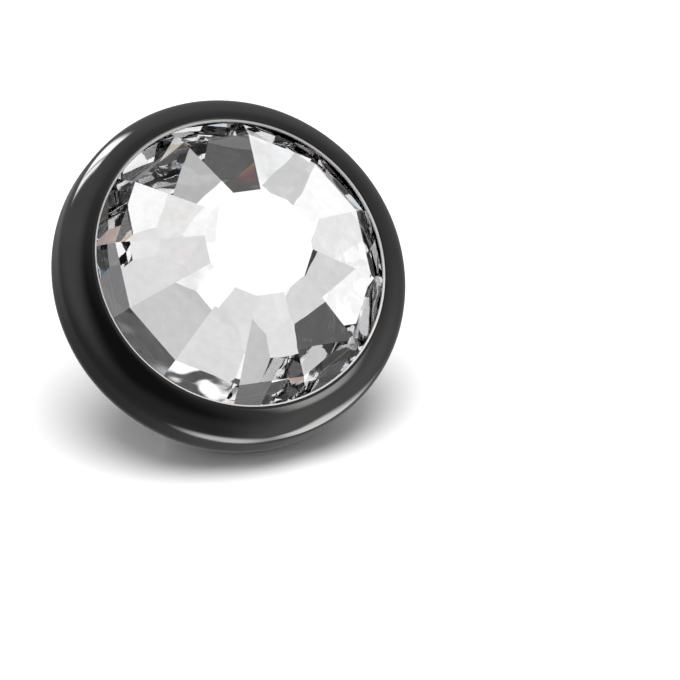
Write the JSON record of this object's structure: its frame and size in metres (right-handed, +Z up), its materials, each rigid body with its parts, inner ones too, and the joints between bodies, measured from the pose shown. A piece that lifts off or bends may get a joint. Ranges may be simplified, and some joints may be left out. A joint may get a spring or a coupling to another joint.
{
  "type": "dermal anchor top",
  "caption": "Round dark steel dermal anchor top with a rounded rim, a clear faceted crystal and a threaded post on its flat back.",
  "frame": {"origin": "on the ground under the middle of the piece as it lies, leaning on its rim and on the tip of its post", "axes": "+Z up; -Y is the side that the crystal looks towards, leaning back; +X along the level width of the disc"},
  "size_m": [0.005, 0.004, 0.0041],
  "materials": {
    "black_steel": "polished, black coated",
    "clear_crystal": "cut and polished, silvered at the bottom"
  },
  "bodies": {
    "root": {"setting": "black_steel", "crystal": "clear_crystal"}
  },
  "joints": []
}
